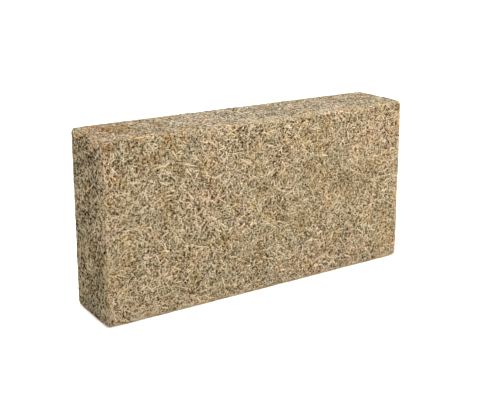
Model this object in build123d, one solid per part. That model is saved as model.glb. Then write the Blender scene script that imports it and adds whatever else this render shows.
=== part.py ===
from build123d import *
import os

# Hempcrete block: hemp shiv bound with lime, pressed in a mould as one plain piece.
# Millimetres, +Z up. It stands on its long narrow bed face, as it is laid in a wall.
# X runs along the length, Y through the thickness, and the origin is the centre of the underside.

# Driving dimensions
block_length = 600.0
block_thickness = 120.0
block_height = 300.0
upright_arris_radius = 6.0
bed_arris_radius = 4.0


def moulded_block():
    """Rounded plan of the mould raised to the block's height, with the rims of both bed faces eased."""
    mould_plan = RectangleRounded(block_length, block_thickness, upright_arris_radius)
    block = extrude(mould_plan, amount=block_height)
    lower_bed = block.faces().sort_by(Axis.Z)[0]
    upper_bed = block.faces().sort_by(Axis.Z)[-1]
    return fillet(lower_bed.edges() + upper_bed.edges(), bed_arris_radius)


os.makedirs("parts", exist_ok=True)
export_step(moulded_block(), "parts/hempcrete_block.step")
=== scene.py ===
"""Hempcrete block: hemp chips pressed flush against a mould, over a body of lime and buried chips."""
import math

import bpy
import numpy as np
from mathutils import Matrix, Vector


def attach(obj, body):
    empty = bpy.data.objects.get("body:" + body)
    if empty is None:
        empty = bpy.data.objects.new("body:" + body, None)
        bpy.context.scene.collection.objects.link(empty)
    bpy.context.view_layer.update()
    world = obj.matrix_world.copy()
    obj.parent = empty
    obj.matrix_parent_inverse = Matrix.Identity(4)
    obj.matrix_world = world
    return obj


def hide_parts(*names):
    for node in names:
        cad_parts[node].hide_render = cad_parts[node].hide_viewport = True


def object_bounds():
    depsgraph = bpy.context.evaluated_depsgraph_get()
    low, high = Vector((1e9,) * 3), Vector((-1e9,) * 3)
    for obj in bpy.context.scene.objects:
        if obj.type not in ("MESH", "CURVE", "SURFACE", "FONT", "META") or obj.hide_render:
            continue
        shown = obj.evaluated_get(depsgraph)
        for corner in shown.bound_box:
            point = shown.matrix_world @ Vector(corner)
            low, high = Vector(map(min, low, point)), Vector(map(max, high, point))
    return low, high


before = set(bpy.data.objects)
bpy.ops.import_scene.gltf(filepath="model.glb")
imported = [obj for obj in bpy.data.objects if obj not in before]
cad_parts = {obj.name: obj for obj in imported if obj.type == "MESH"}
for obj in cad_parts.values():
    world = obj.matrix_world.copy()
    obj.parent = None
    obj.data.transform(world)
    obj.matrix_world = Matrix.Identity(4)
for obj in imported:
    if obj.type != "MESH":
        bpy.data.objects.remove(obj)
cad_low, cad_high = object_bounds()

# Sizes are in millimetres, in the block's own frame, and meshes go out in metres
MM = 0.001
block_low = np.array(cad_low) / MM
block_high = np.array(cad_high) / MM
block_middle = (block_low + block_high) / 2
block_half = (block_high - block_low) / 2
# Radius of the arrises, and what noise, the corners and the upright arrises add to it
ARRIS_RADIUS = 3.8
ARRIS_WEAR = 1.3
CORNER_WEAR = 0.8
CORNER_REACH = 22.0
UPRIGHT_WEAR = 2.5
UPRIGHT_REACH = 14.0
LEAST_RADIUS = 0.2
# Depth of the body under the chips, and the spacing of its grid
BODY_DEPTH = 2.8
BODY_SPACING = 6.0

# Six faces: outward normal, then the two directions along the face, right-handed about the normal
FACES = {
    "front": ((0, -1, 0), (1, 0, 0), (0, 0, 1)),
    "back": ((0, 1, 0), (-1, 0, 0), (0, 0, 1)),
    "left_end": ((-1, 0, 0), (0, -1, 0), (0, 0, 1)),
    "right_end": ((1, 0, 0), (0, 1, 0), (0, 0, 1)),
    "top": ((0, 0, 1), (1, 0, 0), (0, 1, 0)),
    "underside": ((0, 0, -1), (1, 0, 0), (0, -1, 0)),
}

# Chips lie in layers: buried_shiv is the bed of pale chips, and shiv what lies on it, flush with the mould.
# share is chips for each SHARE_AREA of square millimetres, depth how far a chip's highest corner lies under
# the mould face, dip its steepest tilt in degrees, and tone runs from near-black, painted shade of gaps,
# over straw to lime white.
SHARE_AREA = 1000.0
# Tone ranges: the two darkest colour flush slivers as painted shade of the gaps between chips
PAINTED_GAP_SHADE = (0.0, 0.1)
PAINTED_FAINT_GAP_SHADE = (0.12, 0.28)
TAN = (0.3, 0.5)
STRAW = (0.4, 0.95)
LAYERS = {
    "buried_shiv": (
        dict(form="sliver", share=124, length=(4.5, 12), breadth=(1.3, 2.3), thick=(0.8, 1.3),
             depth=(0.2, 0.55), dip=2, tone=STRAW),
        dict(form="sliver", share=46, length=(4, 11), breadth=(0.9, 1.6), thick=(0.7, 1.1),
             depth=(0.0, 0.25), dip=1.5, tone=STRAW),
    ),
    "shiv": (
        dict(form="splinter", share=36, length=(4, 13), breadth=(0.7, 1.25), thick=(0.7, 1.1),
             depth=(0.0, 0.25), dip=1.5, tone=STRAW),
        # Brown and near-black slivers lie on top as painted shade of gaps
        dict(form="sliver", share=20, length=(3, 7.5), breadth=(1.0, 1.7), thick=(0.5, 0.9),
             depth=(0.0, 0.3), dip=2, tone=PAINTED_FAINT_GAP_SHADE),
        dict(form="sliver", share=138, length=(2.8, 6.6), breadth=(0.9, 1.7), thick=(0.5, 0.9),
             depth=(0.0, 0.15), dip=2, tone=PAINTED_GAP_SHADE),
        dict(form="sliver", share=10, length=(3, 8), breadth=(1.6, 2.6), thick=(0.5, 0.9),
             depth=(0.0, 0.2), dip=2, tone=PAINTED_GAP_SHADE),
        dict(form="splinter", share=11, length=(6, 20), breadth=(1.2, 2.2), thick=(0.6, 1.0),
             depth=(0.0, 0.12), dip=1, tone=TAN),
        dict(form="splinter", share=5, length=(9, 30), breadth=(1.8, 3.6), thick=(0.6, 1.0),
             depth=(0.0, 0.1), dip=0.7, tone=TAN),
    ),
}
# The left end alone gets more and wider dark slivers: painted shade of wider gaps
LEFT_END_PAINTED_GAPS = dict(form="sliver", share=90, length=(4, 9), breadth=(2.2, 3.6), thick=(0.5, 0.9),
                     depth=(0.0, 0.3), dip=3, tone=PAINTED_GAP_SHADE)
# Depth in millimetres that counts as 1 in the shade of deep chips
DEEPEST = 4.0
# How far a chip is moved from its place in the grid, in cells, and the share of chips that lie nearly level
SCATTER = 1.2
LEVEL_SHARE = 0.1
# Share of the dark chips, painted shade of gaps, that is lost at the arrises, and how far in from them
RIM_LOSS = 0.75
RIM_REACH = 8.0
# Seeds of the chips: one for each face, counted from the first, and one for each group of layers
FIRST_SEED = 100
LAYER_SEEDS = {"buried_shiv": 11, "shiv": 4}


def drift(points, wavelength, seed, waves=24):
    """Smooth noise near -1 to 1: a sum of plane waves with random directions and phases and like lengths."""
    rng = np.random.default_rng(seed)
    heading = rng.normal(size=(waves, 3))
    heading /= np.linalg.norm(heading, axis=1, keepdims=True)
    number = 2 * np.pi / (wavelength * rng.uniform(0.7, 1.5, waves))
    phase = rng.uniform(0, 2 * np.pi, waves)
    total = np.sin(points @ (heading * number[:, None]).T + phase).sum(axis=-1)
    return total * math.sqrt(2 / waves) / 1.6


def press_in_mould(points, sink):
    """Points on the sides of the block's box, or past their rims, move in until they lie sink under the worn
    mould. The mould's surface is one arris radius from an inner box. The radius grows with noise along the
    arrises, at the upright arrises and towards the corners, so what crosses a rim bends round the arris."""
    from_rims = block_half - np.abs(points - block_middle)
    from_corner = np.linalg.norm(from_rims, axis=-1)
    from_upright = np.linalg.norm(from_rims[..., :2], axis=-1)
    worn = np.clip(drift(points, wavelength=70.0, seed=3), 0, 1)
    worn += np.clip(drift(points, wavelength=13.0, seed=4), 0, 1)
    wear = ARRIS_WEAR * worn
    wear += CORNER_WEAR * np.exp(-((from_corner / CORNER_REACH) ** 2))
    wear += UPRIGHT_WEAR * np.exp(-((from_upright / UPRIGHT_REACH) ** 2))
    radius = (ARRIS_RADIUS + wear)[..., None]
    inner = block_half - radius
    nearest = np.clip(points - block_middle, -inner, inner)
    away = points - block_middle - nearest
    distance = np.linalg.norm(away, axis=-1, keepdims=True)
    return block_middle + nearest + away * (np.maximum(radius - sink[..., None], LEAST_RADIUS) / distance)


def face_of_block(normal, right, up):
    """One flat side of the mould: its middle, the two directions along it and its two lengths."""
    normal, right, up = (np.array(d, float) for d in (normal, right, up))
    return dict(
        middle=block_middle + normal * block_half,
        right=right,
        up=up,
        width=2 * np.abs(right) @ block_half,
        height=2 * np.abs(up) @ block_half,
    )


# A chip's section as (across, down) corners, clockwise seen along the chip, with its flat side to the mould
WEDGE = [(-0.5, 0.0), (0.5, 0.0), (0.0, 1.0)]


def chip_form(pointed, shares):
    """A chip in shares of its own size: a wedge carried from end to end, or to a point at the far end.
    Corners are (along, across, down), and faces are corner numbers, facing outwards. For the bake each face
    gets a strip of a unit square, and shares are the strips' heights."""
    count = len(WEDGE)
    near = [(-0.5, across, down) for across, down in WEDGE]
    far = [(0.5, 0.0, 0.0)] if pointed else [(0.5, across, down) for across, down in WEDGE]
    pairs = [(j, (j + 1) % count) for j in range(count)]
    if pointed:
        faces = [(a, count, b) for a, b in pairs] + [tuple(range(count))]
    else:
        faces = [(a, count + a, count + b, b) for a, b in pairs]
        faces += [tuple(range(count)), tuple(count + j for j in reversed(range(count)))]
    strips = []
    for face, top, share in zip(faces, np.cumsum(shares), shares):
        low = top - share
        square = [(0, low), (1, low), (1, top), (0, top)]
        strips.append(square if len(face) == 4 else [(0, low), (1, low), (0.5, top)])
    return dict(corners=np.array(near + far), faces=faces, strips=strips)


CHIP_FORMS = {
    "splinter": chip_form(False, (0.4, 0.2, 0.2, 0.1, 0.1)),
    "sliver": chip_form(True, (0.4, 0.2, 0.2, 0.2)),
}
# Share of its cell that a chip's strips leave free at each side
STRIP_MARGIN = 0.08


def strew(face, layer, rng):
    """Chips for one layer: a grid of places, each moved by up to SCATTER cells and some lost by slow noise,
    with random sizes, headings and tilts. Dark chips, painted shade of gaps, are lost by patches, and mostly
    along the arrises."""
    extent = np.array([face["width"], face["height"]])
    cell = math.sqrt(SHARE_AREA / layer["share"])
    steps = [np.arange(round(side / cell)) for side in extent]
    grid = np.stack(np.meshgrid(*steps), axis=-1).reshape(-1, 2)
    n = len(grid)
    place = (grid + 0.5 + rng.uniform(-SCATTER, SCATTER, (n, 2))) * cell
    place = np.mod(place, extent) - extent / 2
    spot = face["middle"] + place[:, :1] * face["right"] + place[:, 1:] * face["up"]
    from_rim = (extent / 2 - np.abs(place)).min(axis=1)
    # Painted gap shade comes in patches and thins out near the arrises
    if layer["tone"] == PAINTED_GAP_SHADE:
        loss = 0.16 + 0.3 * drift(spot, wavelength=45.0, seed=23)
        loss += RIM_LOSS * np.exp(-((from_rim / RIM_REACH) ** 2))
    else:
        thin = np.clip(drift(spot, wavelength=16.0, seed=21), 0, 1)
        thin += np.clip(drift(spot, wavelength=50.0, seed=22), 0, 1)
        loss = 0.05 + 0.12 * thin
    low, high = layer["length"]
    chips = dict(
        centre=place,
        length=low + (high - low) * rng.beta(1.3, 3.2, n),
        breadth=rng.uniform(*layer["breadth"], n),
        thick=rng.uniform(*layer["thick"], n),
        depth=rng.uniform(*layer["depth"], n),
        heading=np.where(rng.random(n) < LEVEL_SHARE, rng.normal(0, 0.5, n), rng.uniform(0, np.pi, n)),
        dip=np.tan(np.radians(rng.uniform(-layer["dip"], layer["dip"], n))),
        roll=np.tan(np.radians(rng.uniform(-layer["dip"], layer["dip"], n))),
        taper=rng.uniform(0.5, 1.0, (n, 2)),
        skew=rng.uniform(-0.7, 0.7, (n, 2)),
        margin=rng.uniform(-2.0, 1.5, n),
        tone=rng.uniform(*layer["tone"], n),
    )
    kept = rng.random(n) > loss
    return {name: value[kept] for name, value in chips.items()}


def chip_corners(face, form, chips):
    """Each chip's form at its size and place. Both ends taper and are cut on the skew, and the whole tilts
    so that its highest corner keeps its depth. A chip that would pass its margin at the rim of its face
    slides back. Gives the corners, their depths, and their grain: the places along and across the chip in
    millimetres and a number for the chip."""
    along, across, down = form["corners"].T
    far_end = (along > 0).astype(int)
    column = {name: value[:, None] for name, value in chips.items() if value.ndim == 1}
    side = across * column["breadth"] * chips["taper"][:, far_end]
    run = along * column["length"] + chips["skew"][:, far_end] * side
    sink = down * column["thick"] + run * column["dip"] + side * column["roll"]
    sink = sink - sink.min(axis=1, keepdims=True) + column["depth"]
    turn, swing = np.cos(column["heading"]), np.sin(column["heading"])
    flat = np.stack([run * turn - side * swing, run * swing + side * turn], axis=-1)
    flat = flat + chips["centre"][:, None, :]
    limit = np.array([face["width"], face["height"]]) / 2 - column["margin"]
    over = np.maximum(flat.max(axis=1) - limit, 0) + np.minimum(flat.min(axis=1) + limit, 0)
    flat = flat - over[:, None, :]
    points = face["middle"] + flat[..., :1] * face["right"] + flat[..., 1:] * face["up"]
    grain = np.stack([run, side, np.broadcast_to(column["tone"] * 1000, run.shape)], axis=-1)
    return press_in_mould(points, sink), sink, grain


def fill_mesh(name, points, polygons, attributes, bake_places=None):
    """A mesh from whole arrays: points in millimetres, and polygons as a list of index arrays, one for each
    number of corners."""
    mesh = bpy.data.meshes.new(name)
    sizes = np.concatenate([np.full(len(p), p.shape[1]) for p in polygons])
    corners = np.concatenate([p.ravel() for p in polygons])
    mesh.vertices.add(len(points))
    mesh.vertices.foreach_set("co", (points * MM).astype(np.float32).ravel())
    mesh.loops.add(len(corners))
    mesh.loops.foreach_set("vertex_index", corners.astype(np.int32))
    mesh.polygons.add(len(sizes))
    mesh.polygons.foreach_set("loop_start", (np.cumsum(sizes) - sizes).astype(np.int32))
    for label, values in attributes.items():
        kind, field = ("FLOAT", "value") if values.ndim == 1 else ("FLOAT_VECTOR", "vector")
        mesh.attributes.new(label, kind, "POINT").data.foreach_set(field, values.astype(np.float32).ravel())
    if bake_places is not None:
        mesh.uv_layers.new(name="OFBake").uv.foreach_set("vector", bake_places.astype(np.float32).ravel())
    mesh.update(calc_edges=True)
    mesh.validate()
    return mesh


def place_piece(name, mesh, material):
    mesh.materials.append(material)
    piece = bpy.data.objects.new(name, mesh)
    bpy.context.scene.collection.objects.link(piece)
    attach(piece, "root")
    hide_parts("hempcrete_block")


def shiv_piece(name, face, layers, seed, material):
    """The chips of one face as one joined mesh, with each chip's tone and each corner's depth and grain as
    attributes. For the bake each chip has a cell of its own in a square grid."""
    rng = np.random.default_rng(seed)
    strewn = [(CHIP_FORMS[layer["form"]], strew(face, layer, rng)) for layer in layers]
    cells = math.ceil(math.sqrt(sum(len(chips["tone"]) for _, chips in strewn)))
    points, tone, bury, grain, polygons, places = [], [], [], [], [], []
    chips_before, points_before = 0, 0
    for form, chips in strewn:
        corners, sink, along = chip_corners(face, form, chips)
        count, each = sink.shape
        points.append(corners.reshape(-1, 3))
        tone.append(np.repeat(chips["tone"], each))
        bury.append(sink.ravel() / DEEPEST)
        grain.append(along.reshape(-1, 3))
        number = chips_before + np.arange(count)
        cell = np.stack([number % cells, number // cells], axis=1)
        first = points_before + np.arange(count)[:, None, None] * each
        for size in (3, 4):
            wanted = [f for f in range(len(form["faces"])) if len(form["faces"][f]) == size]
            if wanted:
                polygons.append((first + np.array([form["faces"][f] for f in wanted])).reshape(-1, size))
                strip = np.array([form["strips"][f] for f in wanted]).reshape(-1, 2)
                strip = strip * (1 - 2 * STRIP_MARGIN) + STRIP_MARGIN
                places.append(((cell[:, None, :] + strip) / cells).reshape(-1, 2))
        chips_before += count
        points_before += count * each
    attributes = {"tone": np.concatenate(tone), "bury": np.concatenate(bury), "grain": np.concatenate(grain)}
    mesh = fill_mesh(name, np.concatenate(points), polygons, attributes, np.concatenate(places))
    place_piece(name, mesh, material)


def body_piece(name, material):
    """The body under the chips: a grid on each side of the block, sunk by a depth that varies with noise.
    The depth depends on the place alone, so the six grids share their rims and close up."""
    points, polygons, start = [], [], 0
    for directions in FACES.values():
        face = face_of_block(*directions)
        columns = round(face["width"] / BODY_SPACING)
        rows = round(face["height"] / BODY_SPACING)
        right, up = np.meshgrid(np.linspace(-0.5, 0.5, columns + 1), np.linspace(-0.5, 0.5, rows + 1))
        flat = right[..., None] * face["width"] * face["right"] + up[..., None] * face["height"] * face["up"]
        points.append((face["middle"] + flat).reshape(-1, 3))
        corner = start + np.arange(rows)[:, None] * (columns + 1) + np.arange(columns)
        square = [corner, corner + 1, corner + columns + 2, corner + columns + 1]
        polygons.append(np.stack(square, axis=-1).reshape(-1, 4))
        start += len(points[-1])
    rims, shared = np.unique(np.round(np.concatenate(points), 3), axis=0, return_inverse=True)
    depth = BODY_DEPTH + 0.6 * drift(rims, wavelength=12.0, seed=11)
    depth += 0.4 * drift(rims, wavelength=6.0, seed=12)
    polygons = [shared.ravel()[np.concatenate(polygons)]]
    place_piece(name, fill_mesh(name, press_in_mould(rims, depth), polygons, {}), material)


def linear(hex_colour):
    """An sRGB hex value as linear red, green, blue and alpha."""
    parts = [int(hex_colour[i:i + 2], 16) / 255 for i in (1, 3, 5)]
    return (*[p / 12.92 if p <= 0.04045 else ((p + 0.055) / 1.055) ** 2.4 for p in parts], 1.0)


def add_node(tree, kind, inputs, stops=(), **settings):
    """One shader node with its settings, its sockets set to values or linked to other nodes' outputs, and a
    ramp's colours as (place, hex colour) stops."""
    made = tree.nodes.new(kind)
    for name, value in settings.items():
        setattr(made, name, value)
    for name, value in inputs.items():
        if isinstance(value, bpy.types.NodeSocket):
            tree.links.new(value, made.inputs[name])
        else:
            made.inputs[name].default_value = value
    for number, (place, colour) in enumerate(stops):
        elements = made.color_ramp.elements
        element = elements[number] if number < len(elements) else elements.new(place)
        element.position = place
        element.color = linear(colour)
    return made


def new_material(name):
    material = bpy.data.materials.new(name)
    material.use_nodes = True
    material.node_tree.nodes.clear()
    return material, material.node_tree


# Stains: middle, how far they reach, the axes that count in the distance, and the tint that they multiply by
STAINS = (
    dict(middle=(-248.0, 10.0, 302.0), reach=80.0, axes=(1, 1, 1), tint="#f0d5b6"),
    dict(middle=(299.0, -60.0, 0.0), reach=13.0, axes=(1, 1, 0), tint="#fff0e2"),
)
# Tone of the chips, from near-black and brown, painted shade of gaps, over tan to lime-dusted straw
TONES = (
    (0.0, "#120900"),
    (0.1, "#281802"),
    (0.2, "#755c33"),
    (0.35, "#c6b49b"),
    (0.6, "#cbbca6"),
    (1.0, "#ccbfab"),
)
# Sizes of the patches, warm or grey, and of the crumbs of lime
PATCH_SIZE = 26.0
BROAD_PATCH_SIZE = 70.0
CRUMB_SIZE = 1.8
# Fibres along the woody chips, drawn several times coarser than they are, so that they show
FIBRE_LENGTH = 6.0
FIBRE_WIDTH = 0.5


def hemp_shiv():
    """Hemp shiv dusted with lime: woody straw-coloured chips, matt, each of its own tone, the darkest tones
    painted shade of gaps, and with fibres along it, warmer or greyer by patches, browner by painted shade
    where they lie deeper, and stained in two places."""
    material, tree = new_material("hemp_shiv")
    where = add_node(tree, "ShaderNodeTexCoord", {}).outputs["Object"]
    tone = add_node(tree, "ShaderNodeAttribute", {}, attribute_name="tone").outputs["Fac"]
    bury = add_node(tree, "ShaderNodeAttribute", {}, attribute_name="bury").outputs["Fac"]
    grain = add_node(tree, "ShaderNodeAttribute", {}, attribute_name="grain").outputs["Vector"]
    colour = add_node(tree, "ShaderNodeValToRGB", {"Fac": tone}, stops=TONES).outputs["Color"]
    patch = add_node(
        tree, "ShaderNodeTexNoise", {"Vector": where, "Scale": 1 / (PATCH_SIZE * MM), "Detail": 1.0}
    ).outputs["Fac"]
    tint = add_node(
        tree, "ShaderNodeValToRGB", {"Fac": patch},
        stops=[(0.3, "#faf0de"), (0.5, "#fdfaf5"), (0.7, "#f4f5ef")],
    ).outputs["Color"]
    slow = add_node(
        tree, "ShaderNodeTexNoise", {"Vector": where, "Scale": 1 / (BROAD_PATCH_SIZE * MM), "Detail": 1.0}
    ).outputs["Fac"]
    blush = add_node(
        tree, "ShaderNodeValToRGB", {"Fac": slow},
        stops=[(0.35, "#f0eadf"), (0.5, "#f9f6f0"), (0.65, "#fff6f1")],
    ).outputs["Color"]
    # Painted shade: chips are tinted browner the deeper they lie
    painted_depth_shade = add_node(
        tree, "ShaderNodeValToRGB", {"Fac": bury}, stops=[(0.08, "#ffffff"), (0.4, "#dcc295")]
    ).outputs["Color"]
    stretched = add_node(
        tree, "ShaderNodeVectorMath", {0: grain, 1: (1 / FIBRE_LENGTH, 1 / FIBRE_WIDTH, 1.0)},
        operation="MULTIPLY",
    ).outputs[0]
    fibre = add_node(
        tree, "ShaderNodeTexNoise", {"Vector": stretched, "Scale": 1.0, "Detail": 1.0}
    ).outputs["Fac"]
    streak = add_node(
        tree, "ShaderNodeValToRGB", {"Fac": fibre}, stops=[(0.35, "#f0ece6"), (0.6, "#ffffff")]
    ).outputs["Color"]
    shades = [tint, blush, painted_depth_shade, streak]
    for stain in STAINS:
        reach = stain["reach"] * MM
        flat = add_node(
            tree, "ShaderNodeVectorMath", {0: where, 1: stain["axes"]}, operation="MULTIPLY"
        ).outputs[0]
        gap = add_node(
            tree, "ShaderNodeVectorMath", {0: flat, 1: [c * MM for c in stain["middle"]]},
            operation="DISTANCE",
        ).outputs["Value"]
        ragged = add_node(
            tree, "ShaderNodeMath", {0: patch, 1: 2.5 * reach, 2: gap}, operation="MULTIPLY_ADD"
        ).outputs[0]
        near = add_node(
            tree, "ShaderNodeMapRange",
            {"Value": ragged, "From Min": reach, "From Max": 2.25 * reach, "To Min": 1.0, "To Max": 0.0},
        ).outputs[0]
        shades.append(add_node(
            tree, "ShaderNodeMix", {0: near, 6: (1, 1, 1, 1), 7: linear(stain["tint"])}, data_type="RGBA"
        ).outputs[2])
    for shade in shades:
        colour = add_node(
            tree, "ShaderNodeMix", {0: 1.0, 6: colour, 7: shade}, data_type="RGBA", blend_type="MULTIPLY"
        ).outputs[2]
    roughness = add_node(
        tree, "ShaderNodeMapRange", {"Value": fibre, "To Min": 0.82, "To Max": 0.98}
    ).outputs[0]
    bump = add_node(
        tree, "ShaderNodeBump", {"Height": fibre, "Strength": 0.25, "Distance": 0.15 * MM}
    ).outputs[0]
    shader = add_node(
        tree, "ShaderNodeBsdfPrincipled",
        {"Base Color": colour, "Roughness": roughness, "Normal": bump, "Specular IOR Level": 0.05},
    ).outputs[0]
    add_node(tree, "ShaderNodeOutputMaterial", {"Surface": shader})
    return material


def lime_binder():
    """Lime binder and buried chips in the hollows: rough and crumbly, and a brown darker than lime that is
    partly painted shade of the hollows.
    """
    material, tree = new_material("lime_binder")
    where = add_node(tree, "ShaderNodeTexCoord", {}).outputs["Object"]
    crumb = add_node(
        tree, "ShaderNodeTexNoise", {"Vector": where, "Scale": 1 / (CRUMB_SIZE * MM)}
    ).outputs["Fac"]
    # Brown crumbs: partly the binder's own colour, partly painted shade of the hollows between chips
    colour = add_node(
        tree, "ShaderNodeValToRGB", {"Fac": crumb}, stops=[(0.4, "#5a4322"), (0.6, "#a0855a")]
    ).outputs["Color"]
    bump = add_node(
        tree, "ShaderNodeBump", {"Height": crumb, "Strength": 0.6, "Distance": 0.6 * MM}
    ).outputs[0]
    shader = add_node(
        tree, "ShaderNodeBsdfPrincipled",
        {"Base Color": colour, "Roughness": 0.95, "Normal": bump, "Specular IOR Level": 0.05},
    ).outputs[0]
    add_node(tree, "ShaderNodeOutputMaterial", {"Surface": shader})
    return material


# Camera: the photo's view. Angles in degrees, lengths in millimetres, picture places in pixels of 500 x 400.
FRAME_WIDTH, FRAME_HEIGHT = 500, 400
CAMERA_PLACE = (-822.2, -1248.3, 600.5)
CAMERA_TURN = 33.488
CAMERA_DIP = 13.123
FOCAL_LENGTH_PX = 889.97
AXIS_ROW_PX = 140.0


def set_camera():
    camera = bpy.data.objects.new("camera", bpy.data.cameras.new("camera"))
    bpy.context.scene.collection.objects.link(camera)
    camera.location = np.array(CAMERA_PLACE) * MM
    camera.rotation_euler = (math.radians(90 - CAMERA_DIP), 0, -math.radians(CAMERA_TURN))
    camera.data.sensor_width = 36.0
    camera.data.lens = FOCAL_LENGTH_PX * camera.data.sensor_width / FRAME_WIDTH
    camera.data.shift_y = (AXIS_ROW_PX - FRAME_HEIGHT / 2) / FRAME_WIDTH
    bpy.context.scene.camera = camera


# Lamps: name, strength, colour, how wide the light spreads in degrees, and the direction that it comes from
LAMPS = (
    ("key", 10.2, "#e5f2ff", 60, (0.18, 0.02, 1.0)),
    ("side_fill", 0.1, "#fcf796", 14, (-0.8, -0.2, 0.6)),
    ("back_fill", 0.5, "#ffffff", 40, (0.4, 0.9, 0.5)),
)
SOFTBOX_PLACE = (750.0, -1100.0, 800.0)
SOFTBOX_AIM = (200.0, -60.0, 150.0)
SOFTBOX_SIDE = 600.0
SOFTBOX_WATTS = 13.3
SOFTBOX_COLOUR = "#fffbf9"
SKY_COLOUR = "#fff7e0"
SKY_STRENGTH = 0.05


def angles_from(direction):
    """The turns that point a lamp along the ray that comes from a direction."""
    east, north, high = direction
    return math.acos(high / math.hypot(east, north, high)), 0, math.atan2(east, -north)


def set_lights():
    scene = bpy.context.scene
    scene.view_settings.view_transform = "Standard"
    world = bpy.data.worlds.new("studio")
    world.use_nodes = True
    sky = world.node_tree.nodes["Background"].inputs
    sky["Color"].default_value = linear(SKY_COLOUR)
    sky["Strength"].default_value = SKY_STRENGTH
    scene.world = world
    for name, energy, colour, spread, direction in LAMPS:
        lamp = bpy.data.objects.new(name, bpy.data.lights.new(name, "SUN"))
        lamp.data.energy = energy
        lamp.data.color = linear(colour)[:3]
        lamp.data.angle = math.radians(spread)
        lamp.rotation_euler = angles_from(direction)
        scene.collection.objects.link(lamp)
    softbox = bpy.data.objects.new("softbox", bpy.data.lights.new("softbox", "AREA"))
    softbox.data.energy = SOFTBOX_WATTS
    softbox.data.color = linear(SOFTBOX_COLOUR)[:3]
    softbox.data.size = SOFTBOX_SIDE * MM
    softbox.location = np.array(SOFTBOX_PLACE) * MM
    softbox.rotation_euler = angles_from(np.subtract(SOFTBOX_PLACE, SOFTBOX_AIM))
    scene.collection.objects.link(softbox)


# Sweep: a white floor with a low wall round it, far off, so that a low view also ends in white. It is lit
# past white, so its warm colour shows only in the light that it throws back on the block.
SWEEP_RADIUS = 30000.0
SWEEP_WALL = 5000.0
SWEEP_SIDES = 48
SWEEP_COLOUR = "#d6cfbb"
SWEEP_GLOW = 0.4


def set_sweep():
    turn = np.linspace(0, 2 * np.pi, SWEEP_SIDES, endpoint=False)
    ring = SWEEP_RADIUS * np.stack([np.cos(turn), np.sin(turn), np.zeros(SWEEP_SIDES)], axis=1)
    foot = np.arange(SWEEP_SIDES)
    following = (foot + 1) % SWEEP_SIDES
    wall = np.stack([following, foot, foot + SWEEP_SIDES, following + SWEEP_SIDES], axis=1)
    points = np.concatenate([ring, ring + (0, 0, SWEEP_WALL)])
    mesh = fill_mesh("sweep", points, [foot[None, :], wall], {})
    material, tree = new_material("white_paper")
    shader = add_node(
        tree, "ShaderNodeBsdfPrincipled",
        {"Base Color": linear(SWEEP_COLOUR), "Roughness": 0.9, "Emission Color": (1, 1, 1, 1),
         "Emission Strength": SWEEP_GLOW},
    ).outputs[0]
    add_node(tree, "ShaderNodeOutputMaterial", {"Surface": shader})
    mesh.materials.append(material)
    sweep = bpy.data.objects.new("sweep", mesh)
    bpy.context.scene.collection.objects.link(sweep)


shiv = hemp_shiv()
body_piece("lime_body", lime_binder())
for number, (side, directions) in enumerate(FACES.items()):
    for layer_name, layers in LAYERS.items():
        if side == "left_end" and layer_name == "shiv":
            layers = layers + (LEFT_END_PAINTED_GAPS,)
        seed = (FIRST_SEED + number, LAYER_SEEDS[layer_name])
        shiv_piece(f"{side}_{layer_name}", face_of_block(*directions), layers, seed, shiv)
set_camera()
set_lights()
set_sweep()
